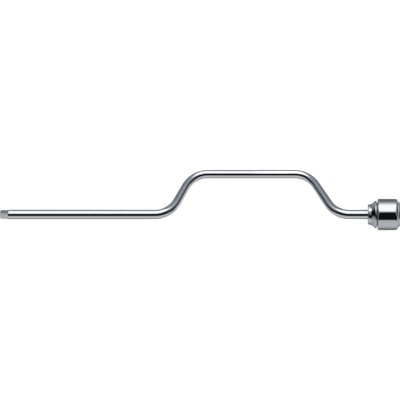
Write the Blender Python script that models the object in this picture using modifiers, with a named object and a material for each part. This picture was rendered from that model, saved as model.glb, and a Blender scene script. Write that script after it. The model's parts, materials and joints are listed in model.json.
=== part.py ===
"""Speeder handle: a cranked chrome bar with a quarter-inch drive square and a palm head that turns freely.

Units are metres, +Z is up. The tool is modelled along its own axis: X runs from the drive nose to the palm end
and Y points towards the crank. An empty then lays it on the bench as it comes to rest on three points: the drive
end, the crank and the palm head. The origin is on the bench, under the middle of the tool.
"""

import math

import bmesh
import bpy
from mathutils import Matrix, Vector

MM = 0.001

# Drive square, forged on the end of the bar with its corners in the plane of the crank.
DRIVE_SQUARE = 6.35 * MM
DRIVE_LENGTH = 7.8 * MM
DRIVE_EDGE_BREAK = 0.35 * MM
DRIVE_NOSE_CHAMFER = 0.7 * MM

# Detent: a sprung ball in a blind bore whose mouth is staked over it.
DETENT_FROM_NOSE = 3.9 * MM
DETENT_BALL_DIAMETER = 2.4 * MM
DETENT_PROUD = 0.55 * MM
DETENT_BORE_FLOOR = 1.35 * MM
DETENT_LIP = 0.35 * MM
DETENT_SPRING_WIRE = 0.32 * MM
DETENT_SPRING_TURNS = 3.5

# Cranked bar, from corner to corner of its centreline. It is drawn down along its legs to a thinner crank grip.
BAR_DIAMETER = 9.0 * MM
BAR_END_CHAMFER = 0.5 * MM
CRANK_GRIP_DIAMETER = 7.9 * MM
SHANK_RUN = 161.3 * MM
GRIP_RUN = 109.9 * MM
PALM_RUN = 30.2 * MM
CRANK_THROW = 38.8 * MM
DRIVE_LEG_ANGLE = math.radians(60.9)
PALM_LEG_ANGLE = math.radians(56.5)
BEND_RADIUS = 24.0 * MM

# Spigot turned on the palm end of the bar, which carries the head.
SHOULDER_STEP = 1.0 * MM
SPIGOT_TAIL = 1.1 * MM
SPIGOT_CHAMFER = 0.5 * MM

# Bell-shaped collar seated on the bar's shoulder.
COLLAR_LENGTH = 8.5 * MM
COLLAR_NECK_DIAMETER = 19.4 * MM
COLLAR_NECK_ROUND = 1.2 * MM
COLLAR_CONE_START = 3.0 * MM
COLLAR_SWEEP = 1.5 * MM
COLLAR_LIP_DIAMETER = 26.3 * MM
COLLAR_LIP_LENGTH = 1.3 * MM
COLLAR_LIP_ROUND = 0.4 * MM
COLLAR_SEAT_DEPTH = 3.5 * MM

# Thrust ball bearing between the collar and the palm grip.
BALL_COUNT = 9
BALL_DIAMETER = 2.38 * MM
RACE_THICKNESS = 1.4 * MM
RACE_RIM = 0.8 * MM
RACE_GROOVE_DEPTH = 0.25 * MM
CAGE_THICKNESS = 1.0 * MM

# Palm grip and what it carries.
GRIP_DIAMETER = 29.8 * MM
GRIP_LENGTH = 19.6 * MM
GRIP_FRONT_ROUND = 0.8 * MM
GRIP_REAR_ROUND = 2.5 * MM
GRIP_CHAMBER_WALL = 4.4 * MM
HEAD_GAP = 0.7 * MM
BUSH_WALL = 1.5 * MM
FELT_WIDTH = 2.0 * MM
FELT_RECESS = 1.2 * MM
FELT_WALL = 1.2 * MM

# Retainers and end cap.
WASHER_THICKNESS = 1.0 * MM
WASHER_WIDTH = 3.0 * MM
CIRCLIP_THICKNESS = 0.8 * MM
CIRCLIP_WIDTH = 1.4 * MM
CIRCLIP_GROOVE_DEPTH = 0.3 * MM
CIRCLIP_EAR = 1.3 * MM
CIRCLIP_EAR_HOLE = 0.9 * MM
CIRCLIP_GAP_ANGLE = math.radians(44)
CAP_DOME_HEIGHT = 3.7 * MM
CAP_RIM = 0.3 * MM
CAP_RIM_STEP = 0.2 * MM
CAP_SKIRT_LENGTH = 2.6 * MM
CAP_SKIRT_WALL = 1.5 * MM

# Clearances: between faces that seat on each other, and between faces that run past each other.
SEAT_GAP = 0.1 * MM
RUN_GAP = 0.1 * MM
CAGE_GAP = 0.25 * MM
SPIGOT_END_GAP = 1.5 * MM

# Smoothness of the facets.
BAR_BEVEL_RESOLUTION = 10
BEND_STEP = math.radians(7.5)
OUTER_STEPS = 48
INNER_STEPS = 32
MERGE_DISTANCE = 0.00001
SMOOTH_ANGLE = math.radians(32)

# Radii and places that follow from the sizes above.
bar_radius = BAR_DIAMETER / 2
crank_grip_radius = CRANK_GRIP_DIAMETER / 2
spigot_radius = bar_radius - SHOULDER_STEP
grip_radius = GRIP_DIAMETER / 2
lip_radius = COLLAR_LIP_DIAMETER / 2
ball_radius = BALL_DIAMETER / 2
detent_ball_radius = DETENT_BALL_DIAMETER / 2

race_inner_radius = spigot_radius + RUN_GAP
race_outer_radius = race_inner_radius + BALL_DIAMETER + 2 * RACE_RIM
ball_pitch_radius = (race_inner_radius + race_outer_radius) / 2
groove_radius = ball_radius + RUN_GAP / 2
race_spacing = 2 * (groove_radius - RACE_GROOVE_DEPTH)
bearing_height = 2 * RACE_THICKNESS + race_spacing
bearing_seat_radius = race_outer_radius + RUN_GAP

bush_inner_radius = spigot_radius + RUN_GAP
bush_outer_radius = bush_inner_radius + BUSH_WALL
felt_inner_radius = bearing_seat_radius + FELT_WALL + SEAT_GAP
felt_outer_radius = felt_inner_radius + FELT_WIDTH
chamber_radius = grip_radius - GRIP_CHAMBER_WALL
circlip_inner_radius = spigot_radius - CIRCLIP_GROOVE_DEPTH + SEAT_GAP
circlip_outer_radius = circlip_inner_radius + CIRCLIP_WIDTH

counterbore_depth = bearing_height + 2 * SEAT_GAP - HEAD_GAP
retainer_height = WASHER_THICKNESS + CIRCLIP_THICKNESS + 3 * SEAT_GAP
chamber_depth = retainer_height + SPIGOT_TAIL + SPIGOT_END_GAP
web_length = GRIP_LENGTH - counterbore_depth - chamber_depth

drive_leg_run = CRANK_THROW / math.tan(DRIVE_LEG_ANGLE)
palm_leg_run = CRANK_THROW / math.tan(PALM_LEG_ANGLE)
grip_corner_x = SHANK_RUN + drive_leg_run
palm_corner_x = grip_corner_x + GRIP_RUN + palm_leg_run
collar_x = palm_corner_x + PALM_RUN
shoulder_x = collar_x + COLLAR_SEAT_DEPTH
collar_rear_x = collar_x + COLLAR_LENGTH
grip_x = collar_rear_x + HEAD_GAP
bearing_x = collar_rear_x + SEAT_GAP
ball_plane_x = bearing_x + RACE_THICKNESS + race_spacing / 2
web_x = grip_x + counterbore_depth
chamber_x = web_x + web_length
washer_x = chamber_x + SEAT_GAP
circlip_x = washer_x + WASHER_THICKNESS + SEAT_GAP
spigot_end_x = circlip_x + CIRCLIP_THICKNESS + SEAT_GAP + SPIGOT_TAIL
cap_x = grip_x + GRIP_LENGTH + SEAT_GAP
tip_x = cap_x + CAP_RIM + CAP_DOME_HEIGHT


def clear_scene():
    """Empties the file and makes one collection for the parts and one for what cuts or joins them."""
    for obj in list(bpy.data.objects):
        bpy.data.objects.remove(obj)
    made = []
    for name in ("speeder_handle", "cutters"):
        collection = bpy.data.collections.new(name)
        bpy.context.scene.collection.children.link(collection)
        made.append(collection)
    return made


parts, cutters = clear_scene()


def material(name, colour, metallic, roughness):
    """One Principled material."""
    made = bpy.data.materials.new(name)
    made.use_nodes = True
    shader = made.node_tree.nodes["Principled BSDF"]
    shader.inputs["Base Color"].default_value = (*colour, 1.0)
    shader.inputs["Metallic"].default_value = metallic
    shader.inputs["Roughness"].default_value = roughness
    return made


bar_chrome = material("bar_chrome", (0.66, 0.67, 0.69), 1.0, 0.14)
head_chrome = material("head_chrome", (0.68, 0.69, 0.71), 1.0, 0.08)
collar_chrome = material("collar_chrome", (0.67, 0.68, 0.70), 1.0, 0.09)
cap_chrome = material("cap_chrome", (0.67, 0.68, 0.70), 1.0, 0.10)
bearing_steel = material("bearing_steel", (0.58, 0.58, 0.59), 1.0, 0.16)
spring_steel = material("spring_steel", (0.36, 0.36, 0.38), 1.0, 0.32)
cage_brass = material("cage_brass", (0.72, 0.54, 0.25), 1.0, 0.30)
bush_bronze = material("bush_bronze", (0.55, 0.36, 0.20), 1.0, 0.42)
seal_felt = material("seal_felt", (0.05, 0.05, 0.055), 0.0, 0.95)


def add_empty(name, parent=None, matrix=None):
    """An empty that carries other pieces, with its axis where they turn or slide."""
    empty = bpy.data.objects.new(name, None)
    parts.objects.link(empty)
    empty.parent = parent
    if matrix is not None:
        empty.matrix_local = matrix
    return empty


def add_mesh(name, bm, parent, finish=None):
    """An object from a bmesh. Without a finish it is a helper: it cuts or joins, and isn't part of the tool."""
    mesh = bpy.data.meshes.new(name)
    bm.to_mesh(mesh)
    bm.free()
    obj = bpy.data.objects.new(name, mesh)
    obj.parent = parent
    if finish is None:
        cutters.objects.link(obj)
        obj.hide_render = True
        obj.display_type = "WIRE"
    else:
        parts.objects.link(obj)
        mesh.materials.append(finish)
    return obj


def settle(obj):
    """Makes the evaluated shape the object's own mesh, welded and facing out, with its round faces smooth."""
    bpy.context.view_layer.update()
    graph = bpy.context.evaluated_depsgraph_get()
    mesh = bpy.data.meshes.new_from_object(obj.evaluated_get(graph))
    bm = bmesh.new()
    bm.from_mesh(mesh)
    bmesh.ops.remove_doubles(bm, verts=bm.verts, dist=MERGE_DISTANCE)
    bmesh.ops.recalc_face_normals(bm, faces=bm.faces)
    bm.to_mesh(mesh)
    bm.free()
    mesh.shade_smooth()
    mesh.set_sharp_from_angle(angle=SMOOTH_ANGLE)
    if obj.type == "MESH":
        obj.modifiers.clear()
        obj.data = mesh
        return obj
    solid = bpy.data.objects.new(obj.name + "_solid", mesh)
    for collection in obj.users_collection:
        collection.objects.link(solid)
    solid.parent = obj.parent
    solid.matrix_world = obj.matrix_world
    name = obj.name
    bpy.data.objects.remove(obj)
    solid.name = name
    return solid


def turned(name, outline, parent, finish=None, steps=INNER_STEPS, closed=True):
    """A piece turned about X from (x, radius) points. A closed outline makes a ring, an open one meets the axis."""
    bm = bmesh.new()
    verts = [bm.verts.new((x, radius, 0)) for x, radius in outline]
    ends = verts[1:] + verts[:1] if closed else verts[1:]
    for first, second in zip(verts, ends):
        bm.edges.new((first, second))
    obj = add_mesh(name, bm, parent, finish)
    screw = obj.modifiers.new("Turn", "SCREW")
    screw.axis = "X"
    screw.steps = screw.render_steps = steps
    screw.use_merge_vertices = True
    screw.merge_threshold = MERGE_DISTANCE
    return settle(obj)


def combine(obj, helper, operation):
    """Joins a helper to an object or cuts it away."""
    boolean = obj.modifiers.new(helper.name, "BOOLEAN")
    boolean.operation = operation
    boolean.object = helper
    return settle(obj)


def arc(centre_x, centre_radius, radius, start, end, count):
    """Outline points on an arc. Angle 0 points along +X and 90 degrees points away from the axis."""
    points = []
    for step in range(count + 1):
        angle = math.radians(start + (end - start) * step / count)
        points.append((centre_x + radius * math.cos(angle), centre_radius + radius * math.sin(angle)))
    return points


def rounded_path(corners, radius):
    """The centreline through the corners, with an arc of the given radius in place of each inner corner."""
    points = [corners[0]]
    for before, corner, after in zip(corners, corners[1:], corners[2:]):
        arriving = (corner - before).normalized()
        leaving = (after - corner).normalized()
        turn = arriving.angle(leaving)
        tangent = radius * math.tan(turn / 2)
        side = math.copysign(1, arriving.cross(leaving).z)
        inward = Vector((-arriving.y, arriving.x, 0)) * side
        start = corner - arriving * tangent
        steps = max(2, round(turn / BEND_STEP))
        for step in range(steps + 1):
            angle = turn * step / steps
            points.append(start + arriving * radius * math.sin(angle) + inward * radius * (1 - math.cos(angle)))
    points.append(corners[-1])
    return points


def bench_pose():
    """The matrix that lays the tool on the bench, solved from its three points of contact."""
    drive_edge_x = DRIVE_LENGTH + BAR_END_CHAMFER
    head_edge_x = grip_x + GRIP_FRONT_ROUND
    bend_centre_x = grip_corner_x + BEND_RADIUS * math.tan(DRIVE_LEG_ANGLE / 2)
    bend_centre_y = CRANK_THROW - BEND_RADIUS
    pitch = roll = 0.0
    for _ in range(40):
        turn = Matrix.Rotation(pitch, 3, "Y") @ Matrix.Rotation(roll, 3, "X")
        up = turn.row[2]
        across = math.hypot(up.y, up.z)
        drive_low = up.x * drive_edge_x - bar_radius * across
        head_low = up.x * head_edge_x - grip_radius * across
        crank_low = up.x * bend_centre_x + up.y * bend_centre_y - crank_grip_radius
        crank_low -= BEND_RADIUS * math.hypot(up.x, up.y)
        pitch -= (drive_low - head_low) / (head_edge_x - drive_edge_x)
        roll -= (crank_low - drive_low) / CRANK_THROW
    middle_x = turn.row[0].x * tip_x / 2
    middle_y = (CRANK_THROW * math.cos(roll) + crank_grip_radius - grip_radius) / 2
    return Matrix.Translation((-middle_x, -middle_y, -drive_low)) @ turn.to_4x4()


def build_bar(tool, detent):
    """The forged bar: bent round stock with the drive square on one end and the head's spigot on the other.

    It thins over the lower half of each leg, so that the crank's grip is slimmer than the rest.
    """
    corners = [
        Vector((DRIVE_LENGTH + BAR_END_CHAMFER, 0, 0)),
        Vector((SHANK_RUN, 0, 0)),
        Vector((grip_corner_x, CRANK_THROW, 0)),
        Vector((grip_corner_x + GRIP_RUN, CRANK_THROW, 0)),
        Vector((palm_corner_x, 0, 0)),
        Vector((shoulder_x, 0, 0)),
    ]
    path = [Vector((DRIVE_LENGTH, 0, 0)), *rounded_path(corners, BEND_RADIUS)]
    curve = bpy.data.curves.new("crank_bar", "CURVE")
    curve.dimensions = "3D"
    curve.twist_mode = "Z_UP"
    curve.bevel_depth = bar_radius
    curve.bevel_resolution = BAR_BEVEL_RESOLUTION
    curve.use_fill_caps = True
    spline = curve.splines.new("POLY")
    spline.points.add(len(path) - 1)
    thinning = 1 - crank_grip_radius / bar_radius
    for point, place in zip(spline.points, path):
        point.co = (*place, 1)
        point.radius = 1 - thinning * min(1, 2 * place.y / CRANK_THROW)
    spline.points[0].radius = 1 - BAR_END_CHAMFER / bar_radius
    curve.materials.append(bar_chrome)
    bar = bpy.data.objects.new("crank_bar", curve)
    parts.objects.link(bar)
    bar.parent = tool
    bar = settle(bar)
    combine(bar, drive_square(tool), "UNION")
    combine(bar, spigot(tool), "UNION")
    return combine(bar, detent_bore(detent), "DIFFERENCE")


def drive_square(tool):
    """The square, with its long edges broken and its nose chamfered. It runs on into the bar."""
    length = DRIVE_LENGTH + bar_radius
    bm = bmesh.new()
    bmesh.ops.create_cube(bm, size=1)
    bmesh.ops.scale(bm, vec=(length, DRIVE_SQUARE, DRIVE_SQUARE), verts=bm.verts)
    bmesh.ops.translate(bm, vec=(length / 2, 0, 0), verts=bm.verts)
    nose_edges = [e for e in bm.edges if max(v.co.x for v in e.verts) < length / 2]
    bmesh.ops.bevel(
        bm, geom=nose_edges, offset=DRIVE_NOSE_CHAMFER, segments=1, affect="EDGES", profile=0.5, material=-1
    )
    corner_edges = [e for e in bm.edges if e.verts[0].co.x != e.verts[1].co.x]
    bmesh.ops.bevel(
        bm, geom=corner_edges, offset=DRIVE_EDGE_BREAK, segments=1, affect="EDGES", profile=0.5, material=-1
    )
    bmesh.ops.rotate(bm, matrix=Matrix.Rotation(math.pi / 4, 3, "X"), verts=bm.verts)
    return add_mesh("drive_square", bm, tool)


def spigot(tool):
    """The turned end of the bar, with the circlip's groove. It starts inside the bar."""
    groove_radius_here = spigot_radius - CIRCLIP_GROOVE_DEPTH
    groove_start = circlip_x - SEAT_GAP / 2
    groove_end = circlip_x + CIRCLIP_THICKNESS + SEAT_GAP / 2
    outline = [
        (shoulder_x - bar_radius, 0),
        (shoulder_x - bar_radius, spigot_radius),
        (groove_start, spigot_radius),
        (groove_start, groove_radius_here),
        (groove_end, groove_radius_here),
        (groove_end, spigot_radius),
        (spigot_end_x - SPIGOT_CHAMFER, spigot_radius),
        (spigot_end_x, spigot_radius - SPIGOT_CHAMFER),
        (spigot_end_x, 0),
    ]
    return turned("spigot", outline, tool, closed=False)


def detent_bore(detent):
    """The detent's blind bore, drawn in at the mouth where the metal is staked over the ball."""
    bore_radius = detent_ball_radius + RUN_GAP
    face = DRIVE_SQUARE / 2
    ball_above_centre = detent_ball_radius - DETENT_PROUD
    mouth_radius = math.sqrt(detent_ball_radius**2 - ball_above_centre**2) + RUN_GAP
    outline = [
        (DETENT_BORE_FLOOR - face, 0),
        (DETENT_BORE_FLOOR - face, bore_radius),
        (face - DETENT_LIP, bore_radius),
        (face, mouth_radius),
        (face + DETENT_PROUD, mouth_radius),
        (face + DETENT_PROUD, 0),
    ]
    return turned("detent_bore", outline, detent, steps=24, closed=False)


def build_detent(detent):
    """The ball, and the spring under it, along the X axis of the detent's empty."""
    ball_centre = DRIVE_SQUARE / 2 + DETENT_PROUD - detent_ball_radius
    bm = bmesh.new()
    bmesh.ops.create_uvsphere(bm, u_segments=16, v_segments=10, radius=detent_ball_radius)
    ball = add_mesh("detent_ball", bm, detent, bearing_steel)
    ball.location = (ball_centre, 0, 0)
    settle(ball)

    coil_radius = detent_ball_radius - DETENT_SPRING_WIRE / 2
    low = DETENT_BORE_FLOOR - DRIVE_SQUARE / 2 + SEAT_GAP + DETENT_SPRING_WIRE / 2
    high = ball_centre - detent_ball_radius - SEAT_GAP - DETENT_SPRING_WIRE / 2
    count = round(DETENT_SPRING_TURNS * 10)
    curve = bpy.data.curves.new("detent_spring", "CURVE")
    curve.dimensions = "3D"
    curve.bevel_depth = DETENT_SPRING_WIRE / 2
    curve.bevel_resolution = 1
    curve.use_fill_caps = True
    spline = curve.splines.new("POLY")
    spline.points.add(count)
    for step, point in enumerate(spline.points):
        angle = math.tau * DETENT_SPRING_TURNS * step / count
        along = low + (high - low) * step / count
        point.co = (along, coil_radius * math.cos(angle), coil_radius * math.sin(angle), 1)
    curve.materials.append(spring_steel)
    spring = bpy.data.objects.new("detent_spring", curve)
    parts.objects.link(spring)
    spring.parent = detent
    settle(spring)


def build_collar(tool):
    """The bell-shaped collar, bored for the bar at the front and for its spigot behind the shoulder."""
    neck_radius = COLLAR_NECK_DIAMETER / 2
    cone_end = COLLAR_LENGTH - COLLAR_LIP_LENGTH
    lean = math.atan2(lip_radius - neck_radius, cone_end - COLLAR_CONE_START)
    sweep_radius = COLLAR_SWEEP / math.tan(lean / 2)
    sweep_x = COLLAR_CONE_START - COLLAR_SWEEP
    lip_round_x = COLLAR_LENGTH - COLLAR_LIP_ROUND
    outline = [
        (0, bar_radius + SEAT_GAP),
        *arc(COLLAR_NECK_ROUND, neck_radius - COLLAR_NECK_ROUND, COLLAR_NECK_ROUND, 180, 90, 5),
        *arc(sweep_x, neck_radius + sweep_radius, sweep_radius, -90, math.degrees(lean) - 90, 6),
        (cone_end, lip_radius),
        *arc(lip_round_x, lip_radius - COLLAR_LIP_ROUND, COLLAR_LIP_ROUND, 90, 0, 3),
        (COLLAR_LENGTH, spigot_radius + SEAT_GAP),
        (COLLAR_SEAT_DEPTH + SEAT_GAP, spigot_radius + SEAT_GAP),
        (COLLAR_SEAT_DEPTH + SEAT_GAP, bar_radius + SEAT_GAP),
    ]
    collar = turned("thrust_collar", outline, tool, collar_chrome, OUTER_STEPS)
    collar.location.x = collar_x


def race_outline(inner_radius, outer_radius):
    """A bearing race whose back is at x = 0 and whose grooved face looks along +X."""
    half_width = math.sqrt(groove_radius**2 - (race_spacing / 2) ** 2)
    ball_centre = RACE_THICKNESS + race_spacing / 2
    lean = math.degrees(math.asin(half_width / groove_radius))
    return [
        (0, inner_radius),
        (0, outer_radius),
        (RACE_THICKNESS, outer_radius),
        *arc(ball_centre, ball_pitch_radius, groove_radius, 180 - lean, 180 + lean, 6),
        (RACE_THICKNESS, inner_radius),
    ]


def build_bearing(tool, ball_axis, palm_axis):
    """Two races with a caged ring of balls between them."""
    fixed = turned("fixed_race", race_outline(race_inner_radius, race_outer_radius), tool, bearing_steel)
    fixed.location.x = bearing_x
    facing = race_outline(race_inner_radius + RUN_GAP, race_outer_radius)
    mirrored = [(bearing_height - x, radius) for x, radius in reversed(facing)]
    turning = turned("turning_race", mirrored, palm_axis, bearing_steel)
    turning.location.x = bearing_x - grip_x

    inner, outer = race_inner_radius + CAGE_GAP, race_outer_radius - CAGE_GAP
    half = CAGE_THICKNESS / 2
    outline = [(-half, inner), (-half, outer), (half, outer), (half, inner)]
    cage = turned("ball_cage", outline, ball_axis, cage_brass, OUTER_STEPS)
    for number in range(BALL_COUNT):
        angle = math.tau * number / BALL_COUNT
        place = Vector((0, ball_pitch_radius * math.cos(angle), ball_pitch_radius * math.sin(angle)))
        bm = bmesh.new()
        bmesh.ops.create_cone(
            bm,
            cap_ends=True,
            segments=16,
            radius1=ball_radius + RUN_GAP,
            radius2=ball_radius + RUN_GAP,
            depth=2 * CAGE_THICKNESS,
            matrix=Matrix.Rotation(math.pi / 2, 4, "Y"),
        )
        pocket = add_mesh(f"cage_pocket_{number + 1}", bm, ball_axis)
        pocket.location = place
        combine(cage, pocket, "DIFFERENCE")
        bm = bmesh.new()
        bmesh.ops.create_uvsphere(bm, u_segments=12, v_segments=8, radius=ball_radius)
        ball = add_mesh(f"bearing_ball_{number + 1}", bm, ball_axis, bearing_steel)
        ball.location = place
        settle(ball)


def build_grip(palm_axis):
    """The palm grip: one turned shell, recessed in front for the felt and the bearing, bored for the bush."""
    rear = GRIP_LENGTH
    recess_inner = felt_inner_radius - SEAT_GAP
    recess_outer = felt_outer_radius + SEAT_GAP
    front = arc(GRIP_FRONT_ROUND, grip_radius - GRIP_FRONT_ROUND, GRIP_FRONT_ROUND, 180, 90, 4)
    back = arc(rear - GRIP_REAR_ROUND, grip_radius - GRIP_REAR_ROUND, GRIP_REAR_ROUND, 90, 0, 6)
    web_start = web_x - grip_x
    web_end = chamber_x - grip_x
    outline = [
        (0, recess_outer),
        *front,
        *back,
        (rear, chamber_radius),
        (web_end, chamber_radius),
        (web_end, bush_outer_radius + SEAT_GAP),
        (web_start, bush_outer_radius + SEAT_GAP),
        (web_start, bearing_seat_radius),
        (0, bearing_seat_radius),
        (0, recess_inner),
        (FELT_RECESS, recess_inner),
        (FELT_RECESS, recess_outer),
    ]
    turned("palm_grip", outline, palm_axis, head_chrome, OUTER_STEPS)


def plain_ring(name, start, length, inner, outer, parent, finish):
    """A square-edged ring, such as a bush or a washer."""
    outline = [(0, inner), (0, outer), (length, outer), (length, inner)]
    ring = turned(name, outline, parent, finish)
    ring.location.x = start
    return ring


def build_circlip(tool):
    """The circlip: a flat open ring with two eared ends, each with a hole for the pliers."""
    half_gap = CIRCLIP_GAP_ANGLE / 2
    ear_reach = 2.2 * CIRCLIP_EAR / circlip_outer_radius
    span = math.tau - CIRCLIP_GAP_ANGLE
    steps = 36
    inner, outer = [], []
    for step in range(steps + 1):
        share = step / steps
        angle = half_gap + span * share
        from_end = min(share, 1 - share) * span
        swell = CIRCLIP_EAR * max(0.0, 1 - from_end / ear_reach) ** 0.5
        inner.append((circlip_inner_radius * math.cos(angle), circlip_inner_radius * math.sin(angle)))
        reach = circlip_outer_radius + swell
        outer.append((reach * math.cos(angle), reach * math.sin(angle)))
    hole_radius = CIRCLIP_EAR_HOLE / 2
    hole_distance = circlip_outer_radius
    loops = [inner + outer[::-1]]
    for side in (1, -1):
        hole_angle = side * (half_gap + 2 * hole_radius / hole_distance)
        centre_y = hole_distance * math.cos(hole_angle)
        centre_z = hole_distance * math.sin(hole_angle)
        loop = []
        for step in range(10):
            angle = math.tau * step / 10
            loop.append((centre_y + hole_radius * math.cos(angle), centre_z + hole_radius * math.sin(angle)))
        loops.append(loop)
    curve = bpy.data.curves.new("circlip", "CURVE")
    curve.dimensions = "2D"
    curve.fill_mode = "BOTH"
    curve.extrude = CIRCLIP_THICKNESS / 2
    for loop in loops:
        spline = curve.splines.new("POLY")
        spline.points.add(len(loop) - 1)
        spline.use_cyclic_u = True
        for point, (first, second) in zip(spline.points, loop):
            point.co = (first, second, 0, 1)
    curve.materials.append(spring_steel)
    clip = bpy.data.objects.new("circlip", curve)
    parts.objects.link(clip)
    clip.parent = tool
    clip.location.x = circlip_x + CIRCLIP_THICKNESS / 2
    clip.rotation_euler = (0, math.pi / 2, 0)
    settle(clip)


def build_cap(palm_axis):
    """The domed end cap, pressed into the back of the grip by its skirt."""
    rim_radius = grip_radius - GRIP_REAR_ROUND - CAP_RIM_STEP
    skirt_radius = chamber_radius - SEAT_GAP
    dome_steps = 9
    dome = []
    for step in range(dome_steps + 1):
        angle = math.pi / 2 * step / dome_steps
        dome.append((CAP_RIM + CAP_DOME_HEIGHT * math.sin(angle), rim_radius * math.cos(angle)))
    outline = [
        (0, 0),
        (0, skirt_radius - CAP_SKIRT_WALL),
        (-CAP_SKIRT_LENGTH, skirt_radius - CAP_SKIRT_WALL),
        (-CAP_SKIRT_LENGTH, skirt_radius),
        (0, skirt_radius),
        (0, rim_radius),
        *dome[:-1],
        (CAP_RIM + CAP_DOME_HEIGHT, 0),
    ]
    cap = turned("end_cap", outline, palm_axis, cap_chrome, OUTER_STEPS, closed=False)
    cap.location.x = cap_x - grip_x


def main():
    tool = add_empty("bench_pose", matrix=bench_pose())
    palm_axis = add_empty("palm_axis", tool, Matrix.Translation((grip_x, 0, 0)))
    ball_axis = add_empty("ball_axis", tool, Matrix.Translation((ball_plane_x, 0, 0)))
    outward = Vector((0, -1, -1)).normalized()
    detent_turn = outward.to_track_quat("X", "Z").to_matrix().to_4x4()
    detent = add_empty("detent_axis", tool, Matrix.Translation((DETENT_FROM_NOSE, 0, 0)) @ detent_turn)

    build_bar(tool, detent)
    build_detent(detent)
    build_collar(tool)
    build_bearing(tool, ball_axis, palm_axis)
    build_grip(palm_axis)
    bush_length = web_length - 2 * SEAT_GAP
    bush_start = web_x + SEAT_GAP - grip_x
    plain_ring("palm_bush", bush_start, bush_length, bush_inner_radius, bush_outer_radius, palm_axis, bush_bronze)
    felt_start = collar_rear_x + RUN_GAP - grip_x
    felt_length = FELT_RECESS - SEAT_GAP - felt_start
    plain_ring("felt_seal", felt_start, felt_length, felt_inner_radius, felt_outer_radius, palm_axis, seal_felt)
    washer_outer = bush_inner_radius + WASHER_WIDTH
    plain_ring("rear_washer", washer_x, WASHER_THICKNESS, bush_inner_radius, washer_outer, tool, bearing_steel)
    build_circlip(tool)
    build_cap(palm_axis)


main()
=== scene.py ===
# %% [markdown]
# # A chromed speeder handle
#
# A speeder handle is a brace for sockets. One hand leans on the round head at the end, the other swings the
# crank, and the square at the far end drives the socket. The tool is a bent bar, a collar, and a head that
# turns on a ball bearing, all of it plated in bright chrome.
#
# The solids of the tool are already packed in one frame, at their real size. In this lesson each plain
# solid gets a finely modelled piece in its place, made with bmesh operators, and each piece gets a finish
# made of shader nodes.

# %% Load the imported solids
import json
import math

import bmesh
import bpy
from mathutils import Matrix, Vector


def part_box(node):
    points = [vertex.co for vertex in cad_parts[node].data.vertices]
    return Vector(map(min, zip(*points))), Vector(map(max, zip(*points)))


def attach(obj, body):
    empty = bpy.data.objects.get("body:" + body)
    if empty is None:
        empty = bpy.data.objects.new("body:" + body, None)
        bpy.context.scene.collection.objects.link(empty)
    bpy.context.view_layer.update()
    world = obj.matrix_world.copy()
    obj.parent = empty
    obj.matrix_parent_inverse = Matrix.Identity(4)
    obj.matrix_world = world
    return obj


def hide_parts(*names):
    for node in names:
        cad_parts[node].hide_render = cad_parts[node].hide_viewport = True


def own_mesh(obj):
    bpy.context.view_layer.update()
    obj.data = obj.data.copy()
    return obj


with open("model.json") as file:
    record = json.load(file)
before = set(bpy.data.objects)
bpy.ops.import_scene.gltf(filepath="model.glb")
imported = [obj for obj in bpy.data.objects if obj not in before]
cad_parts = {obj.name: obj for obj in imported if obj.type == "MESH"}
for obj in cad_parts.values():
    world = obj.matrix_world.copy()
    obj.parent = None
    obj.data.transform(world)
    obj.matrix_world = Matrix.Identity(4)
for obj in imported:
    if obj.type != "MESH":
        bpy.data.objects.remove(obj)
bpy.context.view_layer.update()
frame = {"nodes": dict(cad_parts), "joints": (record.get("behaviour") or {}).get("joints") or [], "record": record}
MM = 0.001

# %% [markdown]
# ## The tool's own axes
#
# The tool lies on the bench on three points, so its bar leans a little in every direction. Modelling a
# leaning piece is awkward. It is easier to model along the bar, with x from the drive nose to the head and
# y towards the crank, and to lay the finished mesh on the bench with one matrix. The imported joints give
# that matrix: the head turns about the bar's axis, and the detent ball slides out of the flat that looks
# away from the crank, halfway down.

# %% Find the bar's axes from the joints
joints = {joint["name"]: joint for joint in frame["joints"]}
mounts = {mount["name"]: mount for mount in frame["record"]["mounts"]}
along_bar = Vector(joints["palm_spin"]["axis"]).normalized()
detent_out = Vector(joints["detent_press"]["axis"]).normalized()
to_crank = (along_bar.cross(detent_out) - detent_out).normalized()
off_bench = along_bar.cross(to_crank)
drive_nose = Vector(mounts["drive_nose"]["pos_m"])
bench_turn = Matrix((along_bar, to_crank, off_bench)).transposed()
lay_on_bench = Matrix.Translation(drive_nose) @ bench_turn.to_4x4()
lift_off_bench = lay_on_bench.inverted()
lean = [round(math.degrees(angle), 2) for angle in bench_turn.to_euler()]
print("the tool lies turned by", lean, "degrees about x, y and z")

# %% [markdown]
# ## Measuring the solids
#
# Most pieces are turned on a lathe and share the bar's axis. Such a piece is known by where it starts,
# where it ends, and its least and greatest radius. A ball is known by its middle. Reading these from the
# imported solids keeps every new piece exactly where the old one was.

# %% Measure a solid
def turned_size(solid):
    """Start and end of a turned solid along the bar, and its least and greatest radius."""
    points = [lift_off_bench @ vert.co for vert in frame["nodes"][solid].data.vertices]
    places = [point.x for point in points]
    radii = [math.hypot(point.y, point.z) for point in points]
    return min(places), max(places), min(radii), max(radii)


def middle_of(solid):
    """The middle of a solid, in the bar's axes."""
    low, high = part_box(solid)
    return lift_off_bench @ ((low + high) / 2)


for solid in ("thrust_collar", "palm_grip", "end_cap"):
    print(solid, [round(size / MM, 2) for size in turned_size(solid)], "mm")

# %% [markdown]
# ## Helpers for node trees
#
# A finish is a tree of shader nodes. One helper adds a node, makes its choices, and links or fills its
# sockets. The few that follow are the words that the recipes below are written in: a stretched pattern,
# noise, a change of range, a sum of two values, and a mix of two colours.

# %% Add a shader node
def fill(tree, socket, value):
    """Links a socket to another one, or sets it to a number, a colour or a vector."""
    if isinstance(value, bpy.types.NodeSocket):
        tree.links.new(value, socket)
    elif socket.type == "RGBA":
        socket.default_value = (*value[:3], 1.0)
    else:
        socket.default_value = value


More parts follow.
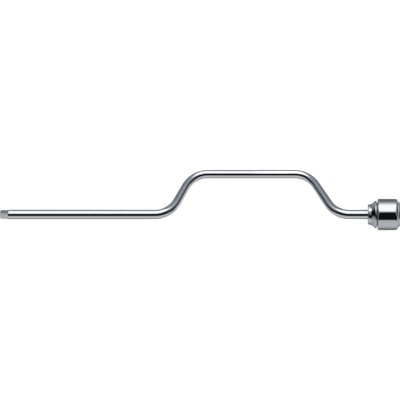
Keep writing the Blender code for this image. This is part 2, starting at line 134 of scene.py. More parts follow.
def node(tree, kind, sockets, **choices):
    """One new node in a tree, with its choices made and its sockets filled by name or number."""
    made = tree.nodes.new(kind)
    for name, value in choices.items():
        setattr(made, name, value)
    for name, value in sockets.items():
        fill(tree, made.inputs[name], value)
    return made


print("helpers:", fill.__name__, "and", node.__name__)

# %% Words for the recipes
def stretched(tree, place, scale):
    """A pattern's coordinates, stretched by a scale per metre along each axis."""
    return node(tree, "ShaderNodeMapping", {"Vector": place, "Scale": scale}).outputs["Vector"]


def noise(tree, place, detail):
    """Soft noise between about 0.3 and 0.7, one cell for each unit of the coordinates."""
    sockets = {"Vector": place, "Scale": 1.0, "Detail": detail, "Roughness": 0.55}
    return node(tree, "ShaderNodeTexNoise", sockets).outputs["Fac"]


def cells(tree, place):
    """Distance from the middle of the nearest of many scattered cells."""
    return node(tree, "ShaderNodeTexVoronoi", {"Vector": place, "Scale": 1.0}).outputs["Distance"]


def remap(tree, value, low, high, new_low, new_high, way="LINEAR"):
    """Stretches a range of values to another range and cuts off what lies outside."""
    sockets = {"Value": value, "From Min": low, "From Max": high, "To Min": new_low, "To Max": new_high}
    return node(tree, "ShaderNodeMapRange", sockets, interpolation_type=way).outputs["Result"]


def combine(tree, kind, first, second=0.0):
    """Adds, multiplies or otherwise combines two values."""
    return node(tree, "ShaderNodeMath", {0: first, 1: second}, operation=kind).outputs["Value"]


def shade(tree, share, first, second):
    """A colour between two colours."""
    return node(tree, "ShaderNodeMix", {"Factor": share, 6: first, 7: second}, data_type="RGBA").outputs[2]


def bump(tree, height, strength, depth):
    """A surface that rises and falls with a pattern."""
    sockets = {"Height": height, "Strength": strength, "Distance": depth}
    return node(tree, "ShaderNodeBump", sockets).outputs["Normal"]


words = (stretched, noise, cells, remap, combine, shade, bump)
print("words:", ", ".join(word.__name__ for word in words))

# %% Start and close a finish
finishes = {}
slot_colours = {slot["slot"]: slot["base_color"] for slot in frame["record"]["materials"]}


def new_finish(name):
    """The node tree of a new material."""
    finishes[name] = bpy.data.materials.new("dressed_" + name)
    finishes[name].use_nodes = True
    return finishes[name].node_tree


def close_finish(tree, sockets):
    """Fills the sockets of a material's shader."""
    for name, value in sockets.items():
        fill(tree, tree.nodes["Principled BSDF"].inputs[name], value)


print("finishes named in the record:", ", ".join(slot_colours))

# %% [markdown]
# ## Where a finish is measured from
#
# Polishing marks follow the way a piece was made. The bar was drawn straight, polished lengthwise and then
# bent, so its marks are measured on the straight bar: each point of the mesh keeps its old place in an
# attribute named unbent. A turned piece has marks around its axis, so its finish turns the object's
# coordinates into the bar's and counts distance along and away from the axis. A second attribute, worn,
# says how exposed an edge is.

# %% Measure along the unbent bar, or around the axis
def attribute(tree, name, output):
    """A value or a vector that each point of the mesh keeps under a name."""
    return node(tree, "ShaderNodeAttribute", {}, attribute_name=name).outputs[output]


def on_unbent_bar(tree):
    """The place of a point on the bar before it was bent."""
    return attribute(tree, "unbent", "Vector")


def on_lathe(tree):
    """The place of a point on a turned piece, with its distance along and from the axis first."""
    place = node(tree, "ShaderNodeTexCoord", {}).outputs["Object"]
    sockets = {"Vector": place, "Location": drive_nose, "Rotation": bench_turn.to_euler()}
    in_tool = node(tree, "ShaderNodeMapping", sockets, vector_type="TEXTURE").outputs["Vector"]
    across = node(tree, "ShaderNodeVectorMath", {0: in_tool, 1: (0, 1, 1)}, operation="MULTIPLY")
    radius = node(tree, "ShaderNodeVectorMath", {0: across.outputs["Vector"]}, operation="LENGTH")
    x, y, z = node(tree, "ShaderNodeSeparateXYZ", {"Vector": in_tool}).outputs
    travel = combine(tree, "ADD", x, radius.outputs["Value"])
    return node(tree, "ShaderNodeCombineXYZ", {"X": travel, "Y": y, "Z": z}).outputs["Vector"]


print("finishes follow the bar, or turn about", [round(part, 4) for part in along_bar])

# %% [markdown]
# ## Bright chrome
#
# Chrome plate is a thin hard mirror. What makes it look real is what isn't perfect: faint marks left by the
# polishing wheel, slow clouds where hands have dulled it, tiny pits, and rounded edges where the plate has
# worn thin and the warmer nickel beneath begins to show. The drive square is darker than the rest, because
# sockets have scuffed it. The marks are stretched noise, which costs nothing to draw and has no seam.
# Marks, clouds and wear all drive the roughness, a very small bump lets reflections waver, and the colour
# comes from the record.

# %% Mix the chrome
NICKEL = (0.60, 0.57, 0.52)
SCUFFED = (0.58, 0.58, 0.59)
DRIVE_LENGTH = 7.8 * MM
SCUFF_FADE = 0.3 * MM
SCUFF_PAST = 0.1 * MM
CLOUDS = (45, 160, 160)
RUBBING = (900, 900, 900)
PITS = (420, 420, 420)
MARK_DEPTH = 0.01 * MM


def chrome(slot, place_of, marks, gloss, scuffed_to=0.0):
    """Chrome plate. Marks are the polishing lines' scales per metre, and gloss is the least roughness."""
    tree = new_finish(slot)
    place = place_of(tree)
    lines = noise(tree, stretched(tree, place, marks), 3.0)
    clouds = noise(tree, stretched(tree, place, CLOUDS), 4.0)
    rubbed = noise(tree, stretched(tree, place, RUBBING), 3.0)
    pit = remap(tree, cells(tree, stretched(tree, place, PITS)), 0.02, 0.07, 1.0, 0.0)
    edge = attribute(tree, "worn", "Fac")
    wear = combine(tree, "MULTIPLY", edge, remap(tree, rubbed, 0.42, 0.62, 0.0, 0.8))

    roughness = remap(tree, lines, 0.35, 0.70, gloss, gloss + 0.03)
    roughness = combine(tree, "ADD", roughness, remap(tree, clouds, 0.45, 0.72, 0.0, 0.03))
    roughness = combine(tree, "ADD", roughness, combine(tree, "MULTIPLY", wear, 0.16))
    roughness = combine(tree, "ADD", roughness, combine(tree, "MULTIPLY", pit, 0.25))
    dulled = combine(tree, "MAXIMUM", wear, combine(tree, "MULTIPLY", pit, 0.6))
    colour = shade(tree, dulled, slot_colours[slot], NICKEL)
    if scuffed_to:
        along = node(tree, "ShaderNodeSeparateXYZ", {"Vector": place}).outputs["X"]
        scuff_end = scuffed_to + SCUFF_PAST
        scuffed = remap(tree, along, scuff_end - SCUFF_FADE, scuff_end, 1.0, 0.0)
        scuffed = combine(tree, "MULTIPLY", scuffed, remap(tree, rubbed, 0.35, 0.65, 0.6, 1.0))
        colour = shade(tree, scuffed, colour, SCUFFED)
    close_finish(
        tree,
        {
            "Metallic": 1.0,
            "Base Color": colour,
            "Roughness": roughness,
            "Normal": bump(tree, combine(tree, "SUBTRACT", lines, pit), 0.06, MARK_DEPTH),
        },
    )


chrome("bar_chrome", on_unbent_bar, marks=(70, 2600, 2600), gloss=0.03, scuffed_to=DRIVE_LENGTH)
chrome("head_chrome", on_lathe, marks=(2600, 90, 90), gloss=0.03)
chrome("collar_chrome", on_lathe, marks=(2600, 90, 90), gloss=0.035)
chrome("cap_chrome", on_lathe, marks=(2400, 90, 90), gloss=0.04)
print("mixed:", ", ".join(finishes))

# %% [markdown]
# ## Steel, brass, bronze and felt
#
# The bearing inside the head is ground steel in a brass cage, the bush is bronze pressed from powder and
# soaked in oil, and the seal is greased felt. Ground steel has fine close lines around its axis. Brass
# tarnishes in brown clouds. Pressed bronze is full of pores, which a cell pattern makes well. Felt is a mat
# of short fibres: two layers of stretched noise that cross give its colour and its rough top.

# %% Mix the steels
GRINDING = (5200, 160, 160)
OIL_FILM = (240, 240, 240)
OILED = 0.72


def ground_steel(slot, gloss):
    """Bearing or spring steel, ground in fine lines and thinly oiled."""
    tree = new_finish(slot)
    place = on_lathe(tree)
    lines = noise(tree, stretched(tree, place, GRINDING), 3.0)
    oil = noise(tree, stretched(tree, place, OIL_FILM), 4.0)
    rubbed_off = combine(tree, "MULTIPLY", attribute(tree, "worn", "Fac"), 0.5)
    film = combine(tree, "SUBTRACT", remap(tree, oil, 0.42, 0.66, 0.0, 0.8), rubbed_off)
    oiled = [OILED * part for part in slot_colours[slot]]
    roughness = remap(tree, lines, 0.3, 0.7, gloss, gloss + 0.12)
    close_finish(
        tree,
        {
            "Metallic": 1.0,
            "Base Color": shade(tree, film, slot_colours[slot], oiled),
            "Roughness": combine(tree, "ADD", roughness, combine(tree, "MULTIPLY", oil, 0.06)),
            "Normal": bump(tree, lines, 0.10, MARK_DEPTH),
        },
    )


ground_steel("bearing_steel", gloss=0.12)
ground_steel("spring_steel", gloss=0.24)
print("mixed:", ", ".join(finishes))

# %% Mix the brass and the bronze
TARNISH = (0.36, 0.22, 0.10)
PORE = (0.12, 0.075, 0.045)
GRAINS_PER_CLOUD = 7
GRAIN_DEPTH = 0.03 * MM


def copper_alloy(slot, aged, scale, gloss, roughened):
    """Brass or bronze: clouds of tarnish at a scale per metre, with the small hollows of its grain."""
    tree = new_finish(slot)
    place = on_lathe(tree)
    clouds = noise(tree, stretched(tree, place, 3 * (scale,)), 4.0)
    grain = cells(tree, stretched(tree, place, 3 * (GRAINS_PER_CLOUD * scale,)))
    hollow = remap(tree, grain, 0.10, 0.34, 0.8, 0.0)
    aging = combine(tree, "MAXIMUM", remap(tree, clouds, 0.44, 0.68, 0.0, 0.7), hollow)
    close_finish(
        tree,
        {
            "Metallic": 1.0,
            "Base Color": shade(tree, aging, slot_colours[slot], aged),
            "Roughness": remap(tree, clouds, 0.35, 0.7, gloss, gloss + 0.2),
            "Normal": bump(tree, grain, roughened, GRAIN_DEPTH),
        },
    )


copper_alloy("cage_brass", TARNISH, scale=380, gloss=0.22, roughened=0.15)
copper_alloy("bush_bronze", PORE, scale=520, gloss=0.34, roughened=0.6)
print("mixed:", ", ".join(finishes))

# %% Mix the felt
GREY_FIBRE = (0.16, 0.155, 0.15)
FIBRES_ACROSS = (900, 5200, 5200)
FIBRES_ALONG = (5200, 900, 2400)
NAP = 0.12 * MM


def greased_felt(slot):
    """A dark mat of fibres that lie every way."""
    tree = new_finish(slot)
    place = node(tree, "ShaderNodeTexCoord", {}).outputs["Object"]
    across = noise(tree, stretched(tree, place, FIBRES_ACROSS), 3.0)
    along = noise(tree, stretched(tree, place, FIBRES_ALONG), 3.0)
    fibres = combine(tree, "MAXIMUM", across, along)
    share = remap(tree, fibres, 0.5, 0.78, 0.0, 0.8)
    close_finish(
        tree,
        {
            "Sheen Weight": 0.35,
            "Base Color": shade(tree, share, slot_colours[slot], GREY_FIBRE),
            "Roughness": remap(tree, fibres, 0.4, 0.75, 0.82, 0.97),
            "Normal": bump(tree, fibres, 0.9, NAP),
        },
    )


greased_felt("seal_felt")
print("mixed:", ", ".join(finishes))

# %% [markdown]
# ## From a shape to a piece
#
# Every piece goes the same way from here: its seams are merged, its faces are turned out, its worn edges
# are noted, and it is laid on the bench and tied to the body that it moves with. Wear needs no painting. An
# edge is worn where the surface turns sharply, so the largest angle between the faces around a point says
# how much.

# %% Note the wear
FLAT_TURN = math.radians(9)
FULL_TURN = math.radians(30)


def note_wear(bm):
    """Writes on each point how sharply the surface turns there, from 0 to 1."""
    worn = bm.verts.layers.float.new("worn")
    for vert in bm.verts:
        turns = [edge.calc_face_angle(0.0) for edge in vert.link_edges]
        share = (max(turns, default=0.0) - FLAT_TURN) / (FULL_TURN - FLAT_TURN)
        vert[worn] = min(1.0, max(0.0, share))


print("wear starts where the surface turns by", round(math.degrees(FLAT_TURN)), "degrees")

# %% Hand a finished shape over
SEAM = 0.002 * MM
SHARP_ANGLE = math.radians(32)


def hand_over(bm, name, slot, body, solid):
    """Makes a shape in the bar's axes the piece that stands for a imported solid."""
    bmesh.ops.remove_doubles(bm, verts=bm.verts, dist=SEAM)
    bmesh.ops.recalc_face_normals(bm, faces=bm.faces)
    note_wear(bm)
    bmesh.ops.transform(bm, matrix=lay_on_bench, verts=bm.verts)
    open_edges = sum(not edge.is_manifold for edge in bm.edges)
    mesh = bpy.data.meshes.new(name)
    bm.to_mesh(mesh)
    bm.free()
    mesh.shade_smooth()
    mesh.set_sharp_from_angle(angle=SHARP_ANGLE)
    mesh.materials.append(finishes[slot])
    piece = bpy.data.objects.new(name, mesh)
    bpy.context.scene.collection.objects.link(piece)
    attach(piece, body)
    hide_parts(solid)
    print(f"{name}: {len(mesh.polygons)} faces, {open_edges} open edges, moves with {body}")
    return piece


print("seams closer than", SEAM / MM, "mm are merged")

# %% [markdown]
# ## The drive square
#
# The end of the bar is forged to a quarter-inch square, with a chamfer on its nose, and with its long edges
# broken so that it slips into a socket. It starts as a cube. Its back face is left out, because that is
# where the bar joins on. The nose is bevelled before the long edges, so that a broken edge runs on over the
# chamfer. A broken edge is a narrow flat, and a second, fine bevel takes off its sharpness. A narrow inset
# on each flat then holds it flat, or the smooth shading of the rounds would bend its reflections.

# %% Forge the drive square
DRIVE_SQUARE = 6.35 * MM
DRIVE_EDGE_BREAK = 0.35 * MM
DRIVE_EDGE_ROUND = 0.06 * MM
DRIVE_NOSE_CHAMFER = 0.7 * MM
DRIVE_FLATS = 5
HOLD = 0.12 * MM


def bevel(bm, parts, width, steps, affect="EDGES"):
    """Rounds edges or corners, or chamfers them with one step."""
    return bmesh.ops.bevel(
        bm, geom=parts, offset=width, segments=steps, affect=affect, profile=0.5, material=-1,
        clamp_overlap=True,
    )


bar = bmesh.new()
unbent = bar.verts.layers.float_vector.new("unbent")
bmesh.ops.create_cube(bar, size=DRIVE_SQUARE)
bmesh.ops.scale(bar, vec=(DRIVE_LENGTH / DRIVE_SQUARE, 1, 1), verts=bar.verts)
bmesh.ops.translate(bar, vec=(DRIVE_LENGTH / 2, 0, 0), verts=bar.verts)
back_face = max(bar.faces, key=lambda face: face.calc_center_median().x)
bmesh.ops.delete(bar, geom=[back_face], context="FACES_ONLY")
nose_edges = [edge for edge in bar.edges if max(vert.co.x for vert in edge.verts) < SEAM]
bevel(bar, nose_edges, DRIVE_NOSE_CHAMFER, 1)
for width, steps in ((DRIVE_EDGE_BREAK, 1), (DRIVE_EDGE_ROUND, 2)):
    long_edges = [edge for edge in bar.edges if abs(edge.verts[0].co.x - edge.verts[1].co.x) > SEAM]
    bevel(bar, long_edges, width, steps)
bmesh.ops.rotate(bar, matrix=Matrix.Rotation(math.pi / 4, 3, "X"), verts=bar.verts)
bar.normal_update()
flats = sorted(bar.faces, key=lambda face: face.calc_area())[-DRIVE_FLATS:]
bmesh.ops.inset_individual(bar, faces=flats, thickness=HOLD, depth=0)
print("drive square:", len(bar.faces), "faces,", DRIVE_SQUARE / MM, "mm across its flats")

# %% [markdown]
# ## The detent's mouth
#
# A sprung ball in one flat of the square holds the socket on. The ball is dropped into a blind hole and the
# edge of the hole is staked over it with a ring punch, which leaves a shallow dish. The hole takes the
# place of the flat's middle face: a circle is drawn there, bridged to the face's edges, and extruded ring
# by ring down the dish, over the staked lip and into the bore.

# %% Draw and extrude rings
def verts_in(geometry):
    """The points among the parts that an operator gives back."""
    return [part for part in geometry if isinstance(part, bmesh.types.BMVert)]


def edges_between(verts):
    """The edges that run from one of these points to another."""
    chosen = set(verts)
    return list({edge for vert in verts for edge in vert.link_edges if edge.other_vert(vert) in chosen})


def circle(bm, radius, sides, matrix):
    """The points of a circle in the xy plane of a matrix."""
    return bmesh.ops.create_circle(bm, segments=sides, radius=radius, matrix=matrix)["verts"]


def new_ring(bm, ring):
    """Extrudes a ring of points and returns the points of the copy, still in the same place."""
    return verts_in(bmesh.ops.extrude_edge_only(bm, edges=edges_between(ring))["geom"])


outward = lift_off_bench.to_3x3() @ detent_out
print("the detent looks", [round(part, 3) for part in outward], "in the bar's axes")

# %% Drill and stake the detent's mouth
DETENT_BORE_RADIUS = 1.3 * MM
DETENT_BORE_DEPTH = 5.0 * MM
DISH_RADIUS = 1.62 * MM
DISH_DEPTH = 0.09 * MM
LIP_RADIUS = 1.16 * MM
LIP_DEPTH = 0.35 * MM
STAKED_BAND = 0.12 * MM
STAKED_RISE = 0.02 * MM
MOUTH_SIDES = 32
SAME_WAY = 0.99
detent_place = Vector((middle_of("detent_ball").x, 0, 0))
drill = Matrix.Translation(detent_place) @ outward.to_track_quat("Z", "X").to_matrix().to_4x4()
drilled = [face for face in bar.faces if face.normal.dot(outward) > SAME_WAY]
drilled = max(drilled, key=lambda face: face.calc_area())
flat_edges = list(drilled.edges)
bmesh.ops.delete(bar, geom=[drilled], context="FACES_ONLY")
mouth = circle(bar, DISH_RADIUS, MOUTH_SIDES, drill @ Matrix.Translation((0, 0, DRIVE_SQUARE / 2)))
bmesh.ops.bridge_loops(bar, edges=flat_edges + edges_between(mouth))
radius, depth = DISH_RADIUS, 0.0
staking = [
    (LIP_RADIUS + STAKED_BAND, DISH_DEPTH),
    (LIP_RADIUS, DISH_DEPTH - STAKED_RISE),
    (DETENT_BORE_RADIUS, LIP_DEPTH),
    (DETENT_BORE_RADIUS, DETENT_BORE_DEPTH),
]
for next_radius, next_depth in staking:
    mouth = new_ring(bar, mouth)
    grow = next_radius / radius
    bmesh.ops.scale(bar, vec=(grow, grow, 1), space=drill.inverted(), verts=mouth)
    bmesh.ops.translate(bar, vec=outward * (depth - next_depth), verts=mouth)
    radius, depth = next_radius, next_depth
bmesh.ops.contextual_create(bar, geom=edges_between(mouth))
print("detent mouth:", round(2 * LIP_RADIUS / MM, 2), "mm across its staked lip")

# %% [markdown]
# ## The bent bar
#
# The bar is round stock, bent round one former, four times, into a wide crank. Over the lower half of each
# leg it is drawn down, so that the crank's grip is slimmer than the rest. A curve with a round bevel would
# give the same shape, but a ring of points that is pulled along straights and spun round the former is
# closer to how it is bent, and it lets every new ring note how far along the straight bar it was. Each
# straight is measured from corner to corner of the centreline, and each bend takes its tangent length away
# from both.

# %% Join the bar to the square
BAR_RADIUS = 4.5 * MM
BAR_SIDES = 64
SHOULDER_EDGE = 0.2 * MM
SHOULDER_CHAMFER = 0.5 * MM
for vert in bar.verts:
    vert[unbent] = vert.co
root = [edge for edge in bar.edges if edge.is_boundary]
stand = Matrix.Rotation(math.pi / 2, 4, "Y")
behind_square = Matrix.Translation((DRIVE_LENGTH, 0, 0)) @ stand
ring = circle(bar, BAR_RADIUS - SHOULDER_EDGE, BAR_SIDES, behind_square)
bmesh.ops.bridge_loops(bar, edges=root + edges_between(ring))
for vert in ring:
    vert[unbent] = vert.co


def pull(ring, way, length):
    """Pulls the open end of the bar straight on and notes the length."""
    end = new_ring(bar, ring)
    bmesh.ops.translate(bar, vec=way * length, verts=end)
    for vert in end:
        vert[unbent] = vert[unbent] + Vector((length, 0, 0))
    return end


def turn_to(ring, radius):
    """Turns the open end of the bar to a radius about its own axis."""
    now = math.hypot(ring[0].co.y, ring[0].co.z)
    bmesh.ops.scale(bar, vec=(1, radius / now, radius / now), verts=ring)
    return ring


along = Vector((1, 0, 0))
ring = turn_to(pull(ring, along, SHOULDER_CHAMFER), BAR_RADIUS)
ring = pull(ring, along, HOLD)
print("bar starts", round(ring[0].co.x / MM, 2), "mm from the nose")

# %% Bend the crank
SHANK_RUN = 161.3 * MM
GRIP_RUN = 109.9 * MM
CRANK_THROW = 38.8 * MM
DRIVE_LEG_ANGLE = math.radians(60.9)
PALM_LEG_ANGLE = math.radians(56.5)
CRANK_GRIP_RADIUS = 3.95 * MM
BEND_RADIUS = 24.0 * MM
BEND_STEP = math.radians(3)


def draw_down(ring):
    """Thins the open end of the bar by how far out along a leg it is."""
    middle = sum((vert.co for vert in ring), Vector()) / len(ring)
    share = min(1.0, 2 * middle.y / CRANK_THROW)
    grow = (BAR_RADIUS + (CRANK_GRIP_RADIUS - BAR_RADIUS) * share) / (ring[0].co - middle).length
    bmesh.ops.scale(bar, vec=(grow, grow, grow), space=Matrix.Translation(-middle), verts=ring)
    return ring


def bend(ring, centre, turn):
    """Spins the open end of the bar round the former, a few degrees at a time, and notes the length."""
    steps = math.ceil(abs(turn) / BEND_STEP)
    axis = (0, 0, math.copysign(1, turn))
    for _ in range(steps):
        moving = ring + edges_between(ring)
        spun = bmesh.ops.spin(bar, geom=moving, cent=centre, axis=axis, angle=abs(turn) / steps, steps=1)
        ring = draw_down(verts_in(spun["geom_last"]))
        for vert in ring:
            vert[unbent] = vert[unbent] + Vector((BEND_RADIUS * abs(turn) / steps, 0, 0))
    return ring


def way_of(heading):
    """The way that a heading in the crank's plane looks."""
    return Vector((math.cos(heading), math.sin(heading), 0))


drive_leg = CRANK_THROW / math.sin(DRIVE_LEG_ANGLE)
palm_leg = CRANK_THROW / math.sin(PALM_LEG_ANGLE)
runs = [SHANK_RUN, drive_leg, GRIP_RUN, palm_leg]
turns = [DRIVE_LEG_ANGLE, -DRIVE_LEG_ANGLE, -PALM_LEG_ANGLE, PALM_LEG_ANGLE]
place = Vector((ring[0].co.x, 0, 0))
heading = 0.0
spent = place.x
for run, turn in zip(runs, turns):
    tangent = BEND_RADIUS * math.tan(abs(turn) / 2)
    ring = draw_down(pull(ring, way_of(heading), run - spent - tangent))
    place += way_of(heading) * (run - spent)
    inward = way_of(heading + math.copysign(math.pi / 2, turn))
    ring = bend(ring, place - way_of(heading) * tangent + inward * BEND_RADIUS, turn)
    heading += turn
    place += way_of(heading) * tangent
    spent = tangent
    at = [round(part / MM, 1) for part in place]
    print("bend of", round(math.degrees(turn), 1), "degrees ends at", at)

# %% [markdown]
# ## The spigot
#
# Past the last bend the bar runs into the collar, where it is turned down to a spigot that carries the
# head. It ends in a groove for the circlip and a chamfer. None of it shows, but a tool that is taken apart
# would look wrong without it, and the places come straight from the pieces that sit on it.

# %% Turn the spigot
SPIGOT_RADIUS = 3.5 * MM
SHOULDER_IN_COLLAR = 3.5 * MM
GROOVE_DEPTH = 0.3 * MM
GROOVE_PLAY = 0.05 * MM
SPIGOT_TAIL = 1.2 * MM
SPIGOT_CHAMFER = 0.5 * MM
collar_start = turned_size("thrust_collar")[0]
clip_start, clip_end = turned_size("circlip")[:2]
shoulder = collar_start + SHOULDER_IN_COLLAR
tail = clip_end + SPIGOT_TAIL
spigot = [
    (shoulder, BAR_RADIUS),
    (shoulder, SPIGOT_RADIUS),
    (clip_start - GROOVE_PLAY, SPIGOT_RADIUS),
    (clip_start - GROOVE_PLAY, SPIGOT_RADIUS - GROOVE_DEPTH),
    (clip_end + GROOVE_PLAY, SPIGOT_RADIUS - GROOVE_DEPTH),
    (clip_end + GROOVE_PLAY, SPIGOT_RADIUS),
    (tail - SPIGOT_CHAMFER, SPIGOT_RADIUS),
    (tail, SPIGOT_RADIUS - SPIGOT_CHAMFER),
]
for reach, radius in spigot:
    ring = turn_to(pull(ring, along, reach - ring[0].co.x), radius)
bmesh.ops.contextual_create(bar, geom=edges_between(ring))
hand_over(bar, "bent_bar", "bar_chrome", "bar", "crank_bar")

# %% [markdown]
# ## Turned pieces
#
# A turned piece is an outline spun round the bar's axis. The outline is a handful of corners, each with the
# radius of the round on its edge. Bevelling a corner of the wire makes the round before the spin does, so
# one short recipe makes the collar, the grip, the cap and every ring inside. As on the square, a point
# close to each end of a straight holds it straight under smooth shading.

# %% Spin an outline
TURN_STEPS = 112
ROUND_STEPS = 5


def hold_straights(bm):
    """Splits every long edge of an outline close to both of its ends."""
    for edge in [edge for edge in bm.edges if edge.calc_length() > 4 * HOLD]:
        near, far = edge.verts
        held = bmesh.utils.edge_split(edge, near, HOLD / edge.calc_length())[1]
        rest = bm.edges.get((held, far))
        bmesh.utils.edge_split(rest, far, HOLD / rest.calc_length())


def turned(corners, closed=True):
    """Spins (along, radius, round) corners about the bar's axis. An open outline ends on the axis."""
    bm = bmesh.new()
    points = [bm.verts.new((x, radius, 0)) for x, radius, _ in corners]
    for first, second in zip(points, points[1:] + points[:1] if closed else points[1:]):
        bm.edges.new((first, second))
    for point, (_, _, edge_round) in zip(points, corners):
        if edge_round:
            bevel(bm, [point], edge_round, ROUND_STEPS, "VERTICES")
    hold_straights(bm)
    whole = bm.verts[:] + bm.edges[:]
    bmesh.ops.spin(
        bm, geom=whole, cent=(0, 0, 0), axis=(1, 0, 0), angle=math.tau, steps=TURN_STEPS, use_merge=True
    )
    return bm


print("turned pieces have", TURN_STEPS, "sides")

# %% [markdown]
# ## The collar
#
# The bell-shaped collar seats on the bar's shoulder and takes the push of the palm. Its outside is a bell:
# a narrow neck with a large round in front, a hollow sweep into a straight cone, and a short level lip.
# Each is one corner of the outline with its own round, as a lathe's cutter would leave it.

# %% Turn the collar
NECK_RADIUS = 9.7 * MM
NECK_ROUND = 1.2 * MM
CONE_START = 3.0 * MM
SWEEP = 1.5 * MM
LIP_LENGTH = 1.3 * MM
LIP_ROUND = 0.7 * MM
SEAT_PLAY = 0.1 * MM
FINE_ROUND = 0.15 * MM
start, end, bore, lip = turned_size("thrust_collar")
seat = start + SHOULDER_IN_COLLAR + SEAT_PLAY
collar = turned(
    [
        (start, BAR_RADIUS + SEAT_PLAY, FINE_ROUND),
        (start, NECK_RADIUS, NECK_ROUND),
        (start + CONE_START, NECK_RADIUS, SWEEP),
        (end - LIP_LENGTH, lip, FINE_ROUND),
        (end, lip, LIP_ROUND),
        (end, bore, FINE_ROUND),
        (seat, bore, 0),
        (seat, BAR_RADIUS + SEAT_PLAY, 0),
    ]
)
hand_over(collar, "bell_collar", "collar_chrome", "bar", "thrust_collar")

# %% [markdown]
# ## The palm grip
#
# The head that the palm leans on is one turned shell. Its outside is a plain cylinder with a small round in
# front and a large one behind. In front it is recessed for the bearing and, around that, for the felt;
# behind is the room for the washer and the circlip, which the cap closes.

# %% Turn the palm grip
FRONT_ROUND = 1.2 * MM
REAR_ROUND = 2.5 * MM
FELT_RECESS = 1.2 * MM
RING_PLAY = 0.1 * MM
CHAMBER_RADIUS = 10.5 * MM
start, grip_end, bush_seat, outside = turned_size("palm_grip")
felt_inner, felt_outer = turned_size("felt_seal")[2:]
bush_start, bush_end = turned_size("palm_bush")[:2]
race_outer = turned_size("turning_race")[3]
grip = turned(
    [
        (start, felt_outer + RING_PLAY, FINE_ROUND),
        (start, outside, FRONT_ROUND),
        (grip_end, outside, REAR_ROUND),
        (grip_end, CHAMBER_RADIUS, FINE_ROUND),
        (bush_end + RING_PLAY, CHAMBER_RADIUS, 0),
        (bush_end + RING_PLAY, bush_seat, FINE_ROUND),
        (bush_start - RING_PLAY, bush_seat, FINE_ROUND),
        (bush_start - RING_PLAY, race_outer + RING_PLAY, 0),
        (start, race_outer + RING_PLAY, FINE_ROUND),
        (start, felt_inner - RING_PLAY, FINE_ROUND),
        (start + FELT_RECESS, felt_inner - RING_PLAY, 0),
        (start + FELT_RECESS, felt_outer + RING_PLAY, 0),
    ]
)
hand_over(grip, "grip_shell", "head_chrome", "palm_head", "palm_grip")

# %% [markdown]
# ## The end cap
#
# A domed cap is pressed into the back of the grip by its skirt. The dome is a quarter of an ellipse from
# its rim to the tip, and a thin dark line is left between its rim and the grip's large round.

# %% Turn the end cap
CAP_GAP = 0.1 * MM
CAP_RIM = 0.3 * MM
SKIRT_WALL = 1.5 * MM
DOME_STEPS = 24
start, tip, _, rim = turned_size("end_cap")
seat = grip_end + CAP_GAP
skirt = CHAMBER_RADIUS - RING_PLAY
dome = []
for step in range(DOME_STEPS):
    angle = math.pi / 2 * step / DOME_STEPS
    dome.append((seat + CAP_RIM + (tip - seat - CAP_RIM) * math.sin(angle), rim * math.cos(angle), 0))
cap = turned(
    [
        (seat, 0, 0),
        (seat, skirt - SKIRT_WALL, FINE_ROUND),
        (start, skirt - SKIRT_WALL, FINE_ROUND),
        (start, skirt, FINE_ROUND),
        (seat, skirt, 0),
        (seat, rim, FINE_ROUND),
        *dome,
        (tip, 0, 0),
    ],
    closed=False,
)
hand_over(cap, "domed_cap", "cap_chrome", "palm_head", "end_cap")

# %% [markdown]
# ## The bearing's races
#
# Inside the head a thrust bearing takes the push of the palm. Two steel rings have a groove each, and nine
# balls roll between them. A groove is an arc a little wider than a ball and is centred on the balls, so one
# recipe makes both rings: the groove opens towards whichever side the balls are on.

# %% Turn the races
BALL_COUNT = 9
GROOVE_RADIUS = 1.24 * MM
GROOVE_STEPS = 10
first_ball = middle_of("bearing_ball_1")
pitch_radius = math.hypot(first_ball.y, first_ball.z)


def race(name, body, solid):
    """A steel ring with a groove that the balls roll in."""
    start, end, bore, rim = turned_size(solid)
    face, back = (end, start) if end < first_ball.x else (start, end)
    reach = math.acos(abs(face - first_ball.x) / GROOVE_RADIUS)
    groove = []
    for step in range(GROOVE_STEPS + 1):
        angle = reach * (2 * step / GROOVE_STEPS - 1)
        depth = math.copysign(GROOVE_RADIUS * math.cos(angle), face - first_ball.x)
        groove.append((first_ball.x + depth, pitch_radius + GROOVE_RADIUS * math.sin(angle), 0))
    inside = [(back, bore, FINE_ROUND), (face, bore, FINE_ROUND)]
    ring = turned([*inside, *groove, (face, rim, FINE_ROUND), (back, rim, FINE_ROUND)])
    hand_over(ring, name, "bearing_steel", body, solid)


race("still_race", "bar", "fixed_race")
race("rolling_race", "palm_head", "turning_race")

# %% [markdown]
# ## The balls
#
# Bearing balls are ground round to a fraction of a hair. A sphere of equal triangles has no poles, so its
# highlights stay round from every side. The detent's ball is made the same way.

# %% Grind the balls
BALL_RADIUS = 1.19 * MM
DETENT_BALL_RADIUS = 1.2 * MM
BALL_FINENESS = 4


def ball(name, radius, body, solid):
    """A steel ball in the middle of its solid."""
    bm = bmesh.new()
    place = Matrix.Translation(middle_of(solid))
    bmesh.ops.create_icosphere(bm, subdivisions=BALL_FINENESS, radius=radius, matrix=place)
    hand_over(bm, name, "bearing_steel", body, solid)


for count in range(1, BALL_COUNT + 1):
    ball(f"steel_ball_{count}", BALL_RADIUS, "ball_set", f"bearing_ball_{count}")
ball("catch_ball", DETENT_BALL_RADIUS, "detent", "detent_ball")

# %% [markdown]
# ## The cage
#
# A flat brass ring keeps the balls apart. It is stamped from sheet, so it is the same all through its
# thickness, and it repeats for each ball. One ninth of the ring is drawn flat: the sector's outline is
# bridged to the circle of the ball's pocket. Spinning copies of it round the axis makes the ring, one
# extrusion gives it thickness, and a small bevel takes off the edges.

